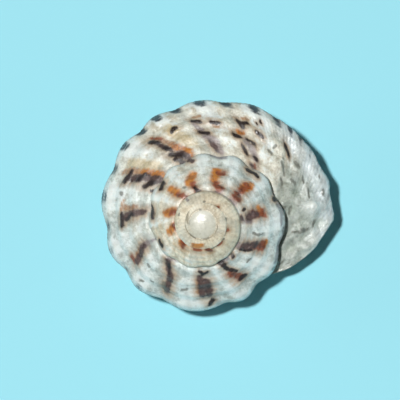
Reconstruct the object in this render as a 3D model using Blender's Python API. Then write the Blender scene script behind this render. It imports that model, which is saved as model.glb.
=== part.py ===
"""A modulus shell: the low, top-shaped shell of a small sea snail, lying on its base with the apex up.

Metres, +Z up. The shell is one piece. Its outer wall is a band that winds round the coil's axis and is joined,
turn by turn, to the keel of the turn before. The last turn goes on below the keel as the ribbed base, ends at
the slanting lip, and is hollow behind it.
"""

import math

import bpy
import bmesh
import numpy as np
from mathutils import Matrix, Vector

MM = 0.001

# The coil. Turns count from the apex, and the shell grows clockwise as seen from above. Lengths are in mm.
COLUMNS_PER_TURN = 60
LIP_COLUMN = 248
LIP_TURN = LIP_COLUMN / COLUMNS_PER_TURN
KEEL_RADIUS = (
    (0, 0.1), (0.25, 0.6), (0.5, 0.88), (0.85, 1.14), (1.25, 1.44), (1.5, 1.58), (1.75, 1.76), (2, 2.05),
    (2.25, 2.5), (2.5, 3.0), (2.75, 3.58), (3, 4.22), (3.25, 4.96), (3.5, 5.75), (3.75, 6.56), (3.87, 6.92),
    (4, 7.07), (4.14, 7.25),
)
KEEL_BELOW_APEX = (
    (0, 0.02), (0.5, 0.13), (1, 0.32), (1.5, 0.64), (2, 1.15), (2.5, 2.0), (3, 3.15), (3.5, 4.1), (4, 5.1), (4.14, 5.45),
)
BASE_DEPTH = ((0, 0), (1, 0.9), (2, 2.0), (3, 3.85), (3.25, 4.25), (3.5, 4.3), (3.75, 4.2), (4.14, 4.1))
RAMP_BULGE = 0.06

# The base below the keel, as shares of the keel's radius and of the base's depth
BASE_ACROSS = (
    (0, 1.0), (0.1, 0.965), (0.2, 0.95), (0.35, 0.905), (0.5, 0.83), (0.65, 0.705), (0.8, 0.53), (0.92, 0.32), (1, 0.16),
)
BASE_DOWN = ((0, 0), (0.1, 0.1), (0.2, 0.25), (0.35, 0.52), (0.5, 0.76), (0.65, 0.925), (0.8, 1), (0.92, 0.985), (1, 0.86))
COVER = ((0, 0.1), (2.7, 0.1), (3.1, 0.2), (3.4, 0.1))

# How far each growth line leans back from the suture to the keel and on to the navel, in turns
LEAN_AT_KEEL = ((0, 0), (1.5, 0.01), (2.5, 0.025), (3.3, 0.035), (3.6, 0.06), (3.85, 0.105), (4.1, 0.095))
LEAN_ACROSS = ((0, 0), (0.25, 0.3), (0.5, 0.55), (1, 1.0), (1.2, 1.15), (1.4, 1.42), (1.7, 1.85), (2, 2.5))
LIP_LEAN = ((0, 0), (0.25, 0.03), (0.5, 0.062), (1, 0.13), (1.2, 0.145), (1.4, 0.17), (1.7, 0.21), (2, 0.27))
INNER_LIP_LEAN = ((1, 0), (1.4, 0.02), (1.7, 0.034), (2, 0.045))

# Sculpture, in mm
GAPS_BETWEEN_RIBS = (
    1.861, 1.958, 2.028, 2.125, 2.208, 2.278, 2.375, 2.472, 2.561, 2.642, 2.719, 2.81, 2.886, 2.972, 3.083, 3.175,
    3.25, 3.367, 3.45, 3.533, 3.633, 3.711, 3.783, 3.869, 3.95, 3.99, 4.03, 4.07, 4.11, 4.15,
)
RIB_HEIGHT = ((0, 0), (1.6, 0), (2, 0.06), (2.5, 0.16), (3, 0.27), (3.45, 0.27), (3.75, 0.17), (3.9, 0.11), (4.1, 0.13))
RIB_ACROSS = ((0, 0.3), (0.4, 0.5), (0.8, 0.8), (1, 1.0), (1.1, 0.8), (1.3, 0.15), (1.5, 0), (2, 0))
RAMP_CORDS = 4
RAMP_CORD_HEIGHT = ((0, 0), (2, 0.02), (3, 0.05), (3.6, 0.09), (4.1, 0.09))
BASE_CORDS = 5
BASE_CORD_HEIGHT = 0.17
SCAR_TURN = 3.95
SCAR_STEP = 0.18

# Walls of the hollow, in mm, its length in turns, and the rows of its sections
WALL = 0.42
COLUMELLA = 0.5
CALLUS = 0.14
TOOTH = 0.35
HOLLOW_TURNS = 0.8
HOLLOW_TAPER = 0.2
HOLLOW_COLUMNS = 22
HOLLOW_ROWS_OUTER = (0.12, 0.26, 0.4, 0.55, 0.7, 0.85, 1.0, 1.12, 1.24, 1.36, 1.48, 1.6, 1.7, 1.8, 1.88, 1.95)
HOLLOW_ROWS_COLUMELLA = (0.1, 0.35, 0.6, 0.85)
HOLLOW_ROWS_INNER = (1.82, 1.74, 1.65, 1.56, 1.47, 1.38, 1.29, 1.2, 1.12)
HOLLOW_SMOOTHING = 2

# Rows across the band: ramp, keel to suture, base and the navel's wall. FINE_FROM is the turn after which the
# ramp carries cords, and NAVEL_HEIGHT is in mm.
FINE_FROM = 2.2
EARLY_RAMP_ROWS = 6
RAMP_ROWS = 12
TUCK_ROWS = 2
BASE_ROWS = 20
NAVEL_ROWS = 2
NAVEL_HEIGHT = 1.6

# The pose it settles into on a table: the coil's axis leans by this angle, in degrees, about a level line in
# this direction. Its lowest points are worn flat to this depth, in mm.
LEAN = 13.4
LEAN_ABOUT = 4
WORN_DEPTH = 0.2

SHELL_COLOUR = (0.80, 0.76, 0.66, 1.0)


def smooth(knots, x):
    """A smooth curve through the knots, read at x, that never overshoots them."""
    xs, ys = np.array(knots, float).T
    step = np.diff(xs)
    rise = np.diff(ys) / step
    both = rise[:-1] * rise[1:]
    total = np.where(both > 0, rise[:-1] + rise[1:], 1)
    slope = np.concatenate(([rise[0]], np.where(both > 0, 2 * both / total, 0), [rise[-1]]))
    k = np.clip(np.searchsorted(xs, x, side="right") - 1, 0, len(step) - 1)
    u = np.clip((x - xs[k]) / step[k], 0, 1)
    start = ys[k] * (1 + 2 * u) * (1 - u) ** 2 + slope[k] * step[k] * u * (1 - u) ** 2
    end = ys[k + 1] * u * u * (3 - 2 * u) - slope[k + 1] * step[k] * u * u * (1 - u)
    return start + end


def ease(x):
    """Goes smoothly from 0 to 1 as x does."""
    x = np.clip(x, 0, 1)
    return x * x * (3 - 2 * x)


def keel(turn):
    """Radius and height of the keel, in mm, with the apex at height 0."""
    return smooth(KEEL_RADIUS, turn), -smooth(KEEL_BELOW_APEX, turn)


def base_point(turn, q):
    """A point below the keel, from q = 0 on the keel to q = 1 on the navel's edge."""
    radius, height = keel(turn)
    return radius * smooth(BASE_ACROSS, q), height - smooth(BASE_DEPTH, turn) * smooth(BASE_DOWN, q)


def band_point(turn, across):
    """The band without its sculpture: across is 0 at the suture, 1 on the keel and 2 on the navel's edge."""
    earlier = np.maximum(turn - 1, 0)
    top_r, top_z = base_point(earlier, smooth(COVER, earlier))
    keel_r, keel_z = keel(turn)
    v = np.clip(across, 0, 1)
    bulge = RAMP_BULGE * 4 * v * (1 - v)
    ramp_r = top_r + (keel_r - top_r) * v + (top_z - keel_z) * bulge
    ramp_z = top_z + (keel_z - top_z) * v + (keel_r - top_r) * bulge
    base_r, base_z = base_point(turn, np.clip(across - 1, 0, 1))
    on_ramp = across <= 1
    return np.where(on_ramp, ramp_r, base_r), np.where(on_ramp, ramp_z, base_z)


def outward(turn, across):
    """The band's outward direction in the half-plane through the axis."""
    small = 0.02
    r0, z0 = band_point(turn, np.maximum(across - small, 0))
    r1, z1 = band_point(turn, np.minimum(across + small, 2))
    length = np.maximum(np.hypot(r1 - r0, z1 - z0), 1e-9)
    return (z0 - z1) / length, (r1 - r0) / length


def base_share(turn, across):
    """How far a point lies from the row of the suture, 0, to the navel's edge, 1."""
    cover = smooth(COVER, turn)
    return np.clip((across - 1 - cover) / (1 - cover), 0, 1)


def growth_line(turn, across):
    """The turn at which the growth line through this point leaves the suture."""
    return turn + smooth(LEAN_AT_KEEL, turn) * smooth(LEAN_ACROSS, across)


def sculpture(turn, across):
    """Height of the ribs, cords and scar above the plain band, in mm."""
    line = growth_line(turn, across)
    wave = np.sin(math.pi * smooth([(gap, k) for k, gap in enumerate(GAPS_BETWEEN_RIBS)], line)) ** 2
    ribs = smooth(RIB_HEIGHT, turn) * smooth(RIB_ACROSS, across) * wave**0.7
    fade = ease(across / 0.12)
    ramp = smooth(RAMP_CORD_HEIGHT, turn) * 0.5 * (1 - np.cos(2 * math.pi * RAMP_CORDS * across))
    share = base_share(turn, across)
    base = BASE_CORD_HEIGHT * 0.5 * (1 - np.cos(2 * math.pi * BASE_CORDS * share)) * ease((1 - share) / 0.1)
    base = base * ease((turn - LIP_TURN + 1) / 0.1)
    scar = SCAR_STEP * ease((line - SCAR_TURN) / 0.01) * ease((LIP_TURN + 0.03 - line) / 0.12)
    scar = scar * (1 - ease((across - 0.7) / 0.4))
    return fade * (ribs + np.where(across <= 1, ramp, base) - scar)


def surface(turn, across, lift=None):
    """A point of the outer wall. lift replaces the sculpture with an even offset, in mm."""
    r, z = band_point(turn, across)
    n_r, n_z = outward(turn, across)
    height = sculpture(turn, across) if lift is None else lift
    return r + n_r * height, z + n_z * height


def in_space(turn, r, z):
    """Winds points of the half-plane round the axis, clockwise as the turns grow."""
    angle = -2 * math.pi * turn
    return np.stack([r * np.cos(angle), r * np.sin(angle), z + 0 * angle], axis=-1)


def lip_lean(across):
    """How far the lip lies behind its suture, in turns."""
    return smooth(LIP_LEAN, across)


def row_places(turn, exposed):
    """Values of across for the rows of one column: ramp, overhang of the keel and, if exposed, base."""
    cover = smooth(COVER, turn)
    ramp = np.linspace(0, 1, (RAMP_ROWS if turn > FINE_FROM else EARLY_RAMP_ROWS) + 1)
    tuck = 1 + cover * np.linspace(0, 1, TUCK_ROWS + 1)[1:]
    base = 1 + cover + (1 - cover) * np.linspace(0, 1, BASE_ROWS + 1)[1:]
    return np.concatenate([ramp, tuck, base] if exposed else [ramp, tuck])


def row_turns(turn, across, exposed):
    """The turn of each row. Columns lean back near the lip, to end on it, and start on the inner lip."""
    turns = turn - lip_lean(across) * ease((turn - LIP_TURN + 0.55) / 0.55)
    if exposed:
        inner = smooth(INNER_LIP_LEAN, 1 + base_share(turn, across))
        turns = turns - inner * ease((LIP_TURN - 1 + 0.45 - turn) / 0.45)
    return turns


def add_face(mesh, *corners):
    """Adds a face, leaving out corners that repeat."""
    kept = [c for k, c in enumerate(corners) if c is not corners[k - 1]]
    if len(set(kept)) > 2:
        mesh.faces.new(kept)


def join(mesh, left, left_places, right, right_places):
    """Joins two lines of vertices: with quads where they have as many, else with triangles."""
    if len(left) == len(right):
        for k in range(len(left) - 1):
            add_face(mesh, left[k], right[k], right[k + 1], left[k + 1])
        return
    i = j = 0
    while i < len(left) - 1 or j < len(right) - 1:
        if j == len(right) - 1 or (i < len(left) - 1 and left_places[i + 1] <= right_places[j + 1]):
            add_face(mesh, left[i], right[j], left[i + 1])
            i += 1
        else:
            add_face(mesh, left[i], right[j], right[j + 1])
            j += 1


def add_band(mesh):
    """Adds the wall from the apex to the lip. Each suture shares its vertices with the turn before."""
    pole = mesh.verts.new((0, 0, 0))
    start_r, start_z = keel(0)
    start = mesh.verts.new((start_r, 0, start_z))
    columns = [[pole] + [start] * (EARLY_RAMP_ROWS + TUCK_ROWS)]
    places = [row_places(0, False)]
    for i in range(1, LIP_COLUMN + 1):
        turn = i / COLUMNS_PER_TURN
        exposed = i >= LIP_COLUMN - COLUMNS_PER_TURN
        across = row_places(turn, exposed)
        turns = row_turns(turn, across, exposed)
        points = in_space(turns, *surface(turns, across))
        before = i - COLUMNS_PER_TURN
        shared = pole if before < 0 else columns[before][suture_row(before)]
        columns.append([shared] + [mesh.verts.new(p) for p in points[1:]])
        places.append(across)
        rows = suture_row(i) + 1 if i == LIP_COLUMN - COLUMNS_PER_TURN else len(across)
        join(mesh, columns[i - 1], places[i - 1], columns[i][:rows], across[:rows])
    return columns, places


def suture_row(column):
    """The row of a column on which the next turn's suture runs."""
    fine = column / COLUMNS_PER_TURN > FINE_FROM
    return (RAMP_ROWS if fine else EARLY_RAMP_ROWS) + TUCK_ROWS


def add_navel(mesh, columns):
    """Adds the navel: its wall from the base's edge up to a level ring, and a cone above that.

    Returns the vertices that link the lip to the start of the exposed base.
    """
    first = LIP_COLUMN - COLUMNS_PER_TURN
    corner = columns[first][-1]
    ring_r, ring_z = math.hypot(corner.co.x, corner.co.y), corner.co.z
    corner_turn = first / COLUMNS_PER_TURN - INNER_LIP_LEAN[-1][1]
    tip = mesh.verts.new((0, 0, ring_z + NAVEL_HEIGHT))
    before = None
    for i in range(first, LIP_COLUMN + 1):
        edge = columns[i][-1]
        edge_turn = i / COLUMNS_PER_TURN
        edge_turn = row_turns(edge_turn, np.array([2.0]), True)[0]
        ring_turn = corner_turn + (i - first) / COLUMNS_PER_TURN
        share = np.linspace(0, 1, NAVEL_ROWS + 1)[1:]
        r = math.hypot(edge.co.x, edge.co.y) * (1 - share) + ring_r * share
        z = edge.co.z * (1 - share) + ring_z * share
        points = in_space(edge_turn * (1 - share) + ring_turn * share, r, z)
        wall = [corner] * NAVEL_ROWS if i == first else [mesh.verts.new(p) for p in points]
        if i == LIP_COLUMN:
            wall[-1:] = [corner]
        inside = in_space(np.array([ring_turn]), ring_r * 0.7, ring_z + NAVEL_HEIGHT * 0.6)[0]
        line = [edge, *wall, first_inside if i == LIP_COLUMN else mesh.verts.new(inside), tip]
        if before is None:
            first_inside = line[-2]
        else:
            join(mesh, before, None, line, None)
        before = line
    return line[1:-3]


def hollow_rings():
    """Sections of the hollow from the lip inwards. Each is a ring: outer wall, columella, inner wall."""
    lips = LIP_TURN - np.linspace(0, HOLLOW_TURNS, HOLLOW_COLUMNS + 1)[:, None]
    near_lip = np.exp(-(((LIP_TURN - lips) / 0.05) ** 2))
    outer = np.array([HOLLOW_ROWS_OUTER])
    outer_turn = lips - lip_lean(outer)
    outer_r, outer_z = surface(outer_turn, outer + 0 * outer_turn, lift=-WALL * (1 - 0.4 * near_lip))
    share = np.array([HOLLOW_ROWS_COLUMELLA])
    mid_turn = lips - lip_lean(2.0) * (1 - share) - INNER_LIP_LEAN[-1][1] * share
    low_r, low_z = base_point(mid_turn, 1 + 0 * mid_turn)
    high_r, high_z = base_point(mid_turn - 1, 0.88 + 0 * mid_turn)
    tooth = TOOTH * np.exp(-(((share - 0.3) / 0.25) ** 2)) * np.exp(-(((LIP_TURN - lips) / 0.12) ** 2))
    mid_r = (low_r + COLUMELLA) * (1 - share) + high_r * share + tooth
    mid_z = low_z * (1 - share) + high_z * share
    inner = np.array([HOLLOW_ROWS_INNER])
    inner_turn = lips - smooth(INNER_LIP_LEAN, inner)
    cover = smooth(COVER, inner_turn - 1)
    inner_r, inner_z = surface(inner_turn - 1, inner + cover * (2 - inner), lift=CALLUS)
    turn = np.concatenate([outer_turn, mid_turn, inner_turn], axis=1)
    r = np.concatenate([outer_r, mid_r, inner_r], axis=1)
    z = np.concatenate([outer_z, mid_z, inner_z], axis=1)
    for _ in range(HOLLOW_SMOOTHING):
        r = (np.roll(r, 1, 1) + 2 * r + np.roll(r, -1, 1)) / 4
        z = (np.roll(z, 1, 1) + 2 * z + np.roll(z, -1, 1)) / 4
    deep = np.clip((LIP_TURN - lips - HOLLOW_TURNS + HOLLOW_TAPER) / HOLLOW_TAPER, 0, 1)
    points = in_space(turn, r, z)
    middle = points.mean(axis=1, keepdims=True)
    places = [*HOLLOW_ROWS_OUTER, *(2 + share[0]), *(5 - inner[0])]
    return middle + (points - middle) * np.sqrt(1 - deep**2)[:, :, None], places


def add_hollow(mesh, columns, places, link):
    """Adds the hollow and the rim that joins it to the lip, the navel's edge and the start of the base."""
    first = LIP_COLUMN - COLUMNS_PER_TURN
    rings, ring_places = hollow_rings()
    made = [[mesh.verts.new(p) for p in ring] for ring in rings[:-1]]
    made.append([mesh.verts.new(rings[-1][0])] * len(ring_places))
    for outside, inside in zip(made, made[1:]):
        join(mesh, [*outside, outside[0]], None, [*inside, inside[0]], None)
    row = suture_row(first)
    start = 1 + base_share(first / COLUMNS_PER_TURN, places[first][row:])
    loop = [*columns[-1], *link, *columns[first][:row:-1], columns[-1][0]]
    loop_places = [*places[-1], *np.linspace(2, 3, len(link) + 2)[1:-1], *(5 - start[:0:-1]), 4]
    join(mesh, loop, loop_places, [*made[0], made[0][0]], [*ring_places, 4 + ring_places[0]])


def shell_mesh():
    """The whole shell as one closed bmesh, in mm, about the coil's axis."""
    mesh = bmesh.new()
    columns, places = add_band(mesh)
    link = add_navel(mesh, columns)
    add_hollow(mesh, columns, places, link)
    bmesh.ops.delete(mesh, geom=[v for v in mesh.verts if not v.link_faces], context="VERTS")
    bmesh.ops.recalc_face_normals(mesh, faces=mesh.faces)
    return mesh


def rest_on_table(mesh):
    """Leans the shell into its resting pose, wears its lowest points flat and centres it over the origin."""
    about = Vector((math.cos(math.radians(LEAN_ABOUT)), math.sin(math.radians(LEAN_ABOUT)), 0))
    bmesh.ops.transform(mesh, matrix=Matrix.Rotation(math.radians(LEAN), 4, about), verts=mesh.verts)
    points = np.array([v.co for v in mesh.verts])
    low, high = points.min(axis=0), points.max(axis=0)
    floor = low[2] + WORN_DEPTH
    centre = (low + high) / 2
    for v in mesh.verts:
        v.co = ((v.co.x - centre[0]) * MM, (v.co.y - centre[1]) * MM, max(v.co.z - floor, 0) * MM)


def shell_material():
    """Worn aragonite: creamy white and half glossy."""
    material = bpy.data.materials.new("worn_shell")
    material.use_nodes = True
    shader = material.node_tree.nodes["Principled BSDF"]
    shader.inputs["Base Color"].default_value = SHELL_COLOUR
    shader.inputs["Roughness"].default_value = 0.45
    shader.inputs["Metallic"].default_value = 0.0
    return material


def main():
    for thing in list(bpy.data.objects):
        bpy.data.objects.remove(thing)
    collection = bpy.data.collections.new("modulus_shell")
    bpy.context.scene.collection.children.link(collection)
    mesh = shell_mesh()
    rest_on_table(mesh)
    data = bpy.data.meshes.new("shell")
    mesh.to_mesh(data)
    mesh.free()
    data.shade_smooth()
    data.materials.append(shell_material())
    collection.objects.link(bpy.data.objects.new("shell", data))


main()
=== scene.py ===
# %% [markdown]
# # A modulus shell
#
# A modulus is a small sea snail, and its shell is a tube that winds round an axis while it widens. Here it is
# built in four steps: the curves that it grows along, the wall that Geometry Nodes wind from them, the
# stripes that the animal laid down in the gaps between its ribs, and the worn, half glossy lime itself.
# Lengths are in millimetres until the shell is laid on the table, because it is so small.

# %% Load the frame
import math

import bpy
import numpy as np
from mathutils import Matrix, Vector
from mathutils.noise import noise_vector, seed_set


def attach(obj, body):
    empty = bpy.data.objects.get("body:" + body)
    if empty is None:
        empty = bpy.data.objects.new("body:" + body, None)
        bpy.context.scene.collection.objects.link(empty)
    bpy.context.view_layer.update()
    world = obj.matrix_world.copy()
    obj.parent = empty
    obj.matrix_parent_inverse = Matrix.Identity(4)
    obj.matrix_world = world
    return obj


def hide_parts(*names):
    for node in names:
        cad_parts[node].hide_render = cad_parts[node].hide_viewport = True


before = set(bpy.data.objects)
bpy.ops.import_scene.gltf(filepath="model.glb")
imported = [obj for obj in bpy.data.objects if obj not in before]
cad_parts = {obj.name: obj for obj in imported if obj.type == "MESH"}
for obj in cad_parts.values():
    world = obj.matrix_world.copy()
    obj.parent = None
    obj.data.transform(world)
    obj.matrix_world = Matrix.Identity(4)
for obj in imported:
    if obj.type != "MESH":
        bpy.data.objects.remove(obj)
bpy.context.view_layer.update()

MM = 0.001

# %% [markdown]
# ## Reading a smooth curve through a few knots
#
# Growth is smooth, so each measure of the shell, such as how far the keel is from the axis after each turn,
# is a short list of knots and a curve through them. The curve never overshoots a knot, so a shell that only
# widens stays that way. `ease` is the soft step that blends one thing into another.

# %% Curves
def smooth(knots, x):
    """A smooth curve through the knots, read at x, that never overshoots them."""
    xs, ys = np.array(knots, float).T
    step = np.diff(xs)
    rise = np.diff(ys) / step
    both = rise[:-1] * rise[1:]
    total = np.where(both > 0, rise[:-1] + rise[1:], 1)
    slope = np.concatenate(([rise[0]], np.where(both > 0, 2 * both / total, 0), [rise[-1]]))
    k = np.clip(np.searchsorted(xs, x, side="right") - 1, 0, len(step) - 1)
    u = np.clip((x - xs[k]) / step[k], 0, 1)
    start = ys[k] * (1 + 2 * u) * (1 - u) ** 2 + slope[k] * step[k] * u * (1 - u) ** 2
    end = ys[k + 1] * u * u * (3 - 2 * u) - slope[k + 1] * step[k] * u * u * (1 - u)
    return start + end


def ease(x):
    """Goes smoothly from 0 to 1 as x does."""
    x = np.clip(x, 0, 1)
    return x * x * (3 - 2 * x)


def bell(x, width):
    """1 where x is 0, fading to nothing a few widths away."""
    return np.exp(-((x / width) ** 2))


# %% [markdown]
# ## How the shell grows
#
# Turns count from the apex, and the shell grows clockwise as seen from above. The wall is one long strip. Its
# place across the strip is 0 at the suture, where it meets the turn before, 1 on the keel and 2 at the navel.
# Above the keel it is a ramp, and below it is the base, which only the last turn shows. These are the same
# curves that the solid follows, so the two agree everywhere.

# %% Growth curves
LIP_TURN = 248 / 60
KEEL_RADIUS = (
    (0, 0.1), (0.25, 0.6), (0.5, 0.88), (0.85, 1.14), (1.25, 1.44), (1.5, 1.58), (1.75, 1.76), (2, 2.05),
    (2.25, 2.5), (2.5, 3.0), (2.75, 3.58), (3, 4.22), (3.25, 4.96), (3.5, 5.75), (3.75, 6.56), (3.87, 6.92),
    (4, 7.07), (4.14, 7.25),
)
KEEL_BELOW_APEX = (
    (0, 0.02), (0.5, 0.13), (1, 0.32), (1.5, 0.64), (2, 1.15), (2.5, 2.0), (3, 3.15), (3.5, 4.1), (4, 5.1),
    (4.14, 5.45),
)
BASE_DEPTH = ((0, 0), (1, 0.9), (2, 2.0), (3, 3.85), (3.25, 4.25), (3.5, 4.3), (3.75, 4.2), (4.14, 4.1))
BASE_ACROSS = (
    (0, 1.0), (0.1, 0.965), (0.2, 0.95), (0.35, 0.905), (0.5, 0.83), (0.65, 0.705), (0.8, 0.53), (0.92, 0.32),
    (1, 0.16),
)
BASE_DOWN = (
    (0, 0), (0.1, 0.1), (0.2, 0.25), (0.35, 0.52), (0.5, 0.76), (0.65, 0.925), (0.8, 1), (0.92, 0.985),
    (1, 0.86),
)
COVER = ((0, 0.1), (2.7, 0.1), (3.1, 0.2), (3.4, 0.1))
RAMP_BULGE = 0.06


def keel(turn):
    """Radius and height of the keel, with the apex at height 0."""
    return smooth(KEEL_RADIUS, turn), -smooth(KEEL_BELOW_APEX, turn)


def base_point(turn, q):
    """A point below the keel, from q = 0 on the keel to q = 1 on the navel's edge."""
    radius, height = keel(turn)
    return radius * smooth(BASE_ACROSS, q), height - smooth(BASE_DEPTH, turn) * smooth(BASE_DOWN, q)


def band_point(turn, across):
    """A point of the bare strip, before ribs and cords."""
    earlier = np.maximum(turn - 1, 0)
    top_r, top_z = base_point(earlier, smooth(COVER, earlier))
    keel_r, keel_z = keel(turn)
    v = np.clip(across, 0, 1)
    bulge = RAMP_BULGE * 4 * v * (1 - v)
    ramp_r = top_r + (keel_r - top_r) * v + (top_z - keel_z) * bulge
    ramp_z = top_z + (keel_z - top_z) * v + (keel_r - top_r) * bulge
    base_r, base_z = base_point(turn, np.clip(across - 1, 0, 1))
    on_ramp = across <= 1
    return np.where(on_ramp, ramp_r, base_r), np.where(on_ramp, ramp_z, base_z)


def outward(turn, across):
    """The strip's outward direction, in the half-plane through the axis."""
    small = 0.02
    r0, z0 = band_point(turn, np.maximum(across - small, 0))
    r1, z1 = band_point(turn, np.minimum(across + small, 2))
    length = np.maximum(np.hypot(r1 - r0, z1 - z0), 1e-9)
    return (z0 - z1) / length, (r1 - r0) / length


def moved_out(turn, across, distance):
    """A point of the bare strip, moved outwards by a distance."""
    r, z = band_point(turn, across)
    out_r, out_z = outward(turn, across)
    return r + out_r * distance, z + out_z * distance


print("widest radius of the keel: %.2f mm" % keel(LIP_TURN)[0])

# %% [markdown]
# ## Growth lines, ribs and cords
#
# The lip is where lime is added, so each rib and stripe has the lip's shape. It leans back from the suture to
# the keel, and more so near the end. `growth_line` gives, for any point, the turn at which its line leaves
# the suture. The gaps between the ribs are where the photo shows them, about 31 degrees apart, and crowd
# together after the healed break, where single lumps and hollows stand between them.

# %% Sculpture
LEAN_AT_KEEL = ((0, 0), (1.5, 0.01), (2.5, 0.025), (3.3, 0.035), (3.6, 0.06), (3.85, 0.105), (4.1, 0.095))
LEAN_ACROSS = ((0, 0), (0.25, 0.3), (0.5, 0.55), (1, 1.0), (1.2, 1.15), (1.4, 1.42), (1.7, 1.85), (2, 2.5))
LIP_LEAN = ((0, 0), (0.25, 0.03), (0.5, 0.062), (1, 0.13), (1.2, 0.145), (1.4, 0.17), (1.7, 0.21), (2, 0.27))
INNER_LIP_LEAN = ((1, 0), (1.4, 0.02), (1.7, 0.034), (2, 0.045))
GAPS_BETWEEN_RIBS = (
    1.861, 1.958, 2.028, 2.125, 2.208, 2.278, 2.375, 2.472, 2.561, 2.642, 2.719, 2.81, 2.886, 2.972, 3.083,
    3.175, 3.25, 3.367, 3.45, 3.533, 3.633, 3.711, 3.783, 3.869, 3.95, 3.99, 4.03, 4.07, 4.11, 4.15,
)
RIB_HEIGHT = (
    (0, 0), (1.6, 0), (2, 0.06), (2.5, 0.16), (3, 0.27), (3.45, 0.27), (3.75, 0.17), (3.9, 0.11), (4.1, 0.13),
)
RIB_ACROSS = ((0, 0.3), (0.4, 0.5), (0.8, 0.8), (1, 1.0), (1.1, 0.8), (1.3, 0.15), (1.5, 0), (2, 0))
RAMP_CORDS = 4
RAMP_CORD_HEIGHT = ((0, 0), (2, 0.02), (3, 0.05), (3.6, 0.09), (4.1, 0.09))
BASE_CORDS = 5
BASE_CORD_HEIGHT = 0.17
SCAR_TURN = 3.95
SCAR_STEP = 0.18
# Lumps and hollows as turn, place across, half width and height, and the ramp's radius and width there, in mm
LUMPS = (
    (3.984, 0.6, 0.6, 0.36), (3.978, 0.7, 0.3, 0.14), (3.905, 0.9, 0.35, 0.12), (3.95, 0.93, 0.4, 0.18),
    (4.005, 0.75, 0.42, -0.12), (4.02, 0.42, 0.3, 0.14), (4.045, 0.52, 0.3, 0.22), (3.985, 0.3, 0.35, -0.12),
    (3.93, 0.45, 0.45, 0.16), (4.035, 0.72, 0.35, 0.16), (4.055, 0.3, 0.35, -0.06), (3.955, 0.4, 0.3, -0.1),
)
LUMPS_RADIUS, LUMPS_RAMP = 6.2, 2.9


def base_share(turn, across):
    """How far a point lies from the row of the suture, 0, to the navel's edge, 1."""
    cover = smooth(COVER, turn)
    return np.clip((across - 1 - cover) / (1 - cover), 0, 1)


def growth_line(turn, across):
    """The turn at which the growth line through this point leaves the suture."""
    return turn + smooth(LEAN_AT_KEEL, turn) * smooth(LEAN_ACROSS, across)


def rib_phase(line):
    """Whole numbers in the gaps between ribs, and halves on the crests."""
    return smooth([(gap, k) for k, gap in enumerate(GAPS_BETWEEN_RIBS)], line)


def lip_lean(across):
    """How far the lip lies behind its suture, in turns."""
    return smooth(LIP_LEAN, across)


def lump_height(turn, across):
    """The height that the single lumps add, in mm."""
    total = np.zeros_like(turn)
    for lump_turn, lump_across, half, height in LUMPS:
        far = np.hypot((turn - lump_turn) * 2 * math.pi * LUMPS_RADIUS, (across - lump_across) * LUMPS_RAMP)
        total += height * np.where(np.abs(turn - lump_turn) < 0.3, bell(far, half), 0)
    return total


# %% [markdown]
# ## The strip as a grid
#
# Each column of the grid is one section of the wall. A suture isn't a gap: the first row of a column is the
# very same vertices as the suture row one turn earlier, so the coil is one watertight skin. The rows follow
# the lip near the end and the inner lip at the start of the base.

# %% Grid of the wall
COLUMNS_PER_TURN = 360
LIP_COLUMN = round(LIP_TURN * COLUMNS_PER_TURN)
FIRST = LIP_COLUMN - COLUMNS_PER_TURN
FINE_FROM = 2.2
EARLY_RAMP_ROWS, RAMP_ROWS, TUCK_ROWS, BASE_ROWS, NAVEL_ROWS = 14, 36, 5, 54, 6
NAVEL_HEIGHT = 1.6
LIP_BLEND, INNER_BLEND = 0.55, 0.45  # turns over which the columns come to lean like each lip


class Grid:
    """Points of the wall, the places on the strip that lie on them, and the faces between places."""

    def __init__(self):
        self.points, self.faces = [], []
        self.vertex, self.turn, self.across = [], [], []

    def node(self, turn, across, vertex=None, point=None):
        """Adds a place on the strip. Several places may share a vertex."""
        if vertex is None:
            vertex = len(self.points)
            self.points.append(point)
        self.vertex.append(vertex)
        self.turn.append(turn)
        self.across.append(across)
        return len(self.vertex) - 1

    def join(self, left, right):
        """Joins two lines of places: with quads where they have as many, else with triangles."""
        if len(left) == len(right):
            self.faces += zip(left[:-1], right[:-1], right[1:], left[1:])
            return
        i = j = 0
        while i < len(left) - 1 or j < len(right) - 1:
            step_left = j == len(right) - 1 or (
                i < len(left) - 1 and self.across[left[i + 1]] <= self.across[right[j + 1]]
            )
            if step_left:
                self.faces.append((left[i], right[j], left[i + 1]))
                i += 1
            else:
                self.faces.append((left[i], right[j], right[j + 1]))
                j += 1


def suture_row(column):
    """The row of a column on which the next turn's suture runs."""
    fine = column / COLUMNS_PER_TURN > FINE_FROM
    return (RAMP_ROWS if fine else EARLY_RAMP_ROWS) + TUCK_ROWS


def row_places(turn, exposed):
    """Values of across for the rows of one column: ramp, overhang of the keel and, if exposed, base."""
    cover = smooth(COVER, turn)
    ramp = np.linspace(0, 1, (RAMP_ROWS if turn > FINE_FROM else EARLY_RAMP_ROWS) + 1)
    tuck = 1 + cover * np.linspace(0, 1, TUCK_ROWS + 1)[1:]
    base = 1 + cover + (1 - cover) * np.linspace(0, 1, BASE_ROWS + 1)[1:]
    return np.concatenate([ramp, tuck, base] if exposed else [ramp, tuck])


def row_turns(turn, across, exposed):
    """The turn of each row. Columns lean back near the lip, to end on it, and start on the inner lip."""
    turns = turn - lip_lean(across) * ease((turn - LIP_TURN + LIP_BLEND) / LIP_BLEND)
    if exposed:
        inner = smooth(INNER_LIP_LEAN, 1 + base_share(turn, across))
        turns = turns - inner * ease((LIP_TURN - 1 + INNER_BLEND - turn) / INNER_BLEND)
    return turns


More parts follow.
